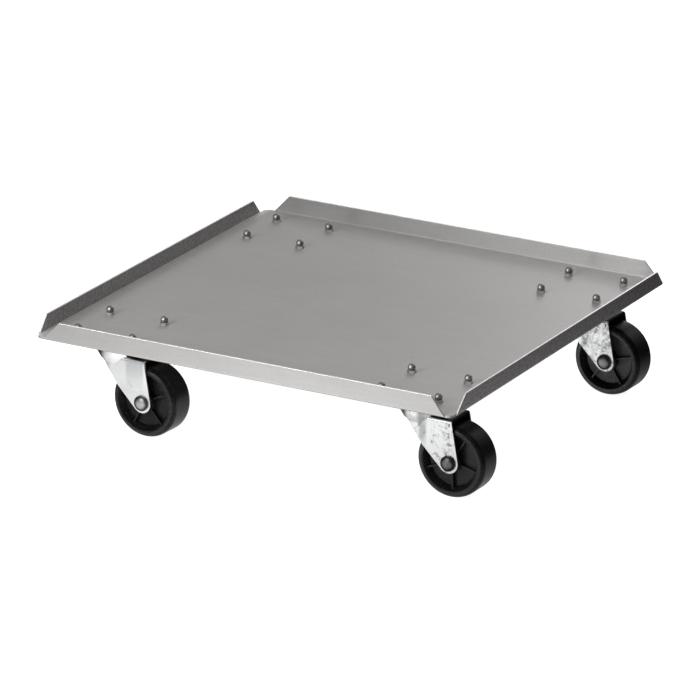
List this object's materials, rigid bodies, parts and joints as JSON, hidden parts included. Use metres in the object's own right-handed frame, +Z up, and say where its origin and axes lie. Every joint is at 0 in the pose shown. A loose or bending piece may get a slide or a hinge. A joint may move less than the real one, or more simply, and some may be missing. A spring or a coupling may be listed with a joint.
{
  "type": "drum dolly",
  "caption": "Square sheet-metal tray with four turned-up edges on four swivel casters, for rolling a drum or crate about.",
  "frame": {"origin": "on the ground, under the middle of the tray", "axes": "+Z up, +X the way the three visible casters trail, +Y towards the back edge"},
  "size_m": [0.6742, 0.6496, 0.1675],
  "materials": {
    "sheet_steel": "fine satin rolled sheet, matt to half gloss, bright where it is cut",
    "cap_nut_steel": "bright turned steel",
    "fastener_zinc": "bright zinc plate",
    "plate_zinc": "zinc plate",
    "fork_zinc": "bright zinc plate, mottled",
    "axle_steel": "dull plated steel, polished on the dome",
    "ball_steel": "polished bearing steel",
    "wheel_black": "moulded black plastic, satin, scuffed on the tread",
    "bush_nylon": "natural nylon"
  },
  "bodies": {
    "deck": {"deck_tray": "sheet_steel", "cap_nuts": "cap_nut_steel", "plate_bolts": "fastener_zinc", "plate_washers": "fastener_zinc", "swivel_plate_front_left": "plate_zinc", "upper_balls_front_left": "ball_steel", "lower_balls_front_left": "ball_steel", "race_cup_front_left": "plate_zinc", "kingpin_front_left": "fastener_zinc", "kingpin_nut_front_left": "fastener_zinc", "swivel_plate_front_right": "plate_zinc", "upper_balls_front_right": "ball_steel", "lower_balls_front_right": "ball_steel", "race_cup_front_right": "plate_zinc", "kingpin_front_right": "fastener_zinc", "kingpin_nut_front_right": "fastener_zinc", "swivel_plate_rear_left": "plate_zinc", "upper_balls_rear_left": "ball_steel", "lower_balls_rear_left": "ball_steel", "race_cup_rear_left": "plate_zinc", "kingpin_rear_left": "fastener_zinc", "kingpin_nut_rear_left": "fastener_zinc", "swivel_plate_rear_right": "plate_zinc", "upper_balls_rear_right": "ball_steel", "lower_balls_rear_right": "ball_steel", "race_cup_rear_right": "plate_zinc", "kingpin_rear_right": "fastener_zinc", "kingpin_nut_rear_right": "fastener_zinc"},
    "fork_body_front_left": {"fork_front_left": "fork_zinc", "axle_sleeve_front_left": "fastener_zinc", "axle_washers_front_left": "fastener_zinc", "axle_bolt_front_left": "axle_steel", "axle_nut_front_left": "fastener_zinc"},
    "wheel_body_front_left": {"wheel_front_left": "wheel_black", "wheel_bush_front_left": "bush_nylon"},
    "fork_body_front_right": {"fork_front_right": "fork_zinc", "axle_sleeve_front_right": "fastener_zinc", "axle_washers_front_right": "fastener_zinc", "axle_bolt_front_right": "axle_steel", "axle_nut_front_right": "fastener_zinc"},
    "wheel_body_front_right": {"wheel_front_right": "wheel_black", "wheel_bush_front_right": "bush_nylon"},
    "fork_body_rear_left": {"fork_rear_left": "fork_zinc", "axle_sleeve_rear_left": "fastener_zinc", "axle_washers_rear_left": "fastener_zinc", "axle_bolt_rear_left": "axle_steel", "axle_nut_rear_left": "fastener_zinc"},
    "wheel_body_rear_left": {"wheel_rear_left": "wheel_black", "wheel_bush_rear_left": "bush_nylon"},
    "fork_body_rear_right": {"fork_rear_right": "fork_zinc", "axle_sleeve_rear_right": "fastener_zinc", "axle_washers_rear_right": "fastener_zinc", "axle_bolt_rear_right": "axle_steel", "axle_nut_rear_right": "fastener_zinc"},
    "wheel_body_rear_right": {"wheel_rear_right": "wheel_black", "wheel_bush_rear_right": "bush_nylon"}
  },
  "joints": [
    {"name": "swivel_front_left", "type": "hinge", "parent": "deck", "child": "fork_body_front_left", "pos_m": [-0.235, -0.235, 0.12], "axis": [0, 0, 1], "continuous": true},
    {"name": "spin_front_left", "type": "hinge", "parent": "fork_body_front_left", "child": "wheel_body_front_left", "pos_m": [-0.18411, -0.23838, 0.0508], "axis": [0.0663, 0.9978, 0], "continuous": true},
    {"name": "swivel_front_right", "type": "hinge", "parent": "deck", "child": "fork_body_front_right", "pos_m": [0.235, -0.235, 0.12], "axis": [0, 0, 1], "continuous": true},
    {"name": "spin_front_right", "type": "hinge", "parent": "fork_body_front_right", "child": "wheel_body_front_right", "pos_m": [0.286, -0.23553, 0.0508], "axis": [0.0105, 0.9999, 0], "continuous": true},
    {"name": "swivel_rear_left", "type": "hinge", "parent": "deck", "child": "fork_body_rear_left", "pos_m": [-0.235, 0.235, 0.12], "axis": [0, 0, 1], "continuous": true},
    {"name": "spin_rear_left", "type": "hinge", "parent": "fork_body_rear_left", "child": "wheel_body_rear_left", "pos_m": [-0.28599, 0.23616, 0.0508], "axis": [-0.0227, -0.9997, 0], "continuous": true},
    {"name": "swivel_rear_right", "type": "hinge", "parent": "deck", "child": "fork_body_rear_right", "pos_m": [0.235, 0.235, 0.12], "axis": [0, 0, 1], "continuous": true},
    {"name": "spin_rear_right", "type": "hinge", "parent": "fork_body_rear_right", "child": "wheel_body_rear_right", "pos_m": [0.28599, 0.23384, 0.0508], "axis": [0.0227, 0.9997, 0], "continuous": true}
  ]
}
